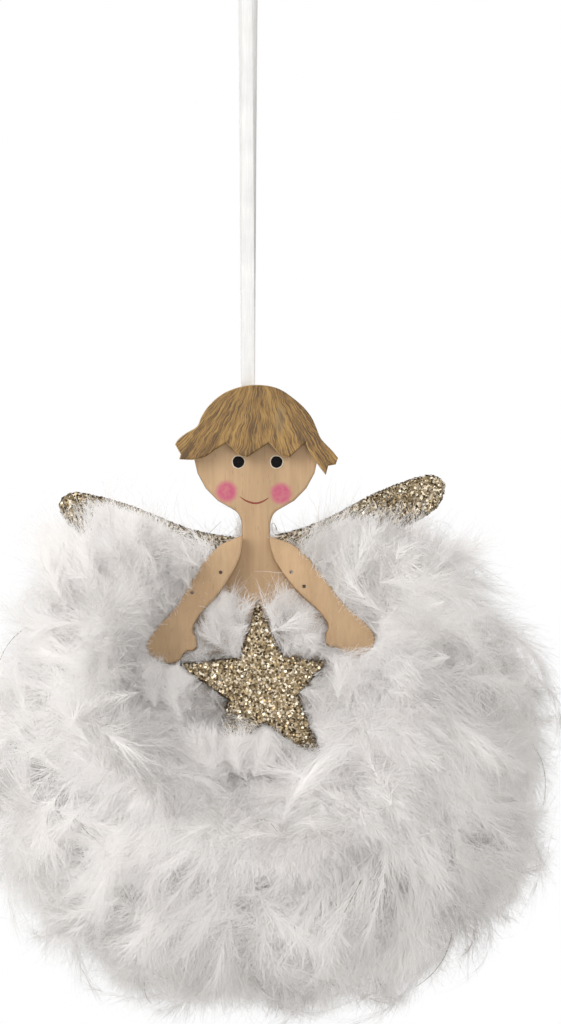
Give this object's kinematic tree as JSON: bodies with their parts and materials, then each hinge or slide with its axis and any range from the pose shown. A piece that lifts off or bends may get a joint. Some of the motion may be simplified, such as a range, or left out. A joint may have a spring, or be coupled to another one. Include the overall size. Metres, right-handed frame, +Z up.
{
  "type": "fairy ornament",
  "caption": "Flat plywood fairy with painted hair and face, gold glitter wings and star, and a round white feather skirt, hung on a satin ribbon loop.",
  "frame": {"origin": "hang point, where the underside of the ribbon's top bend rests on a hook", "axes": "+Z up along the hanging ribbon, the fairy's face looks along -Y, +X to the right as seen from the front"},
  "size_m": [0.1175, 0.0836, 0.2219],
  "materials": {
    "ribbon": "satin",
    "plywood": "matte",
    "hair_paint": "satin",
    "pin_steel": "satin",
    "gold_glitter": "gloss",
    "boa_string": "matte",
    "feather": "matte"
  },
  "bodies": {
    "loop": {"ribbon_loop": "ribbon"},
    "strands": {"ribbon_front_strand": "ribbon", "ribbon_back_strand": "ribbon"},
    "fairy": {"ribbon_front_tail": "ribbon", "ribbon_back_tail": "ribbon", "body_plate": "plywood", "hair_plate": "hair_paint", "left_arm": "plywood", "right_arm": "plywood", "left_arm_pin_1": "pin_steel", "left_arm_pin_2": "pin_steel", "right_arm_pin_1": "pin_steel", "right_arm_pin_2": "pin_steel", "star": "gold_glitter", "wing_plate": "gold_glitter", "boa_cord": "boa_string", "boa_plumage": "feather"}
  },
  "joints": [
    {"name": "ribbon_twist", "type": "hinge", "parent": "loop", "child": "strands", "pos_m": [0, 0, -0.045], "axis": [0, 0, 1], "range_deg": [-150, 150], "stiffness_Nm_per_rad": 0.00005},
    {"name": "swing", "type": "hinge", "parent": "strands", "child": "fairy", "pos_m": [0, 0, -0.0905], "axis": [1, 0, 0], "range_deg": [-30, 30]}
  ]
}
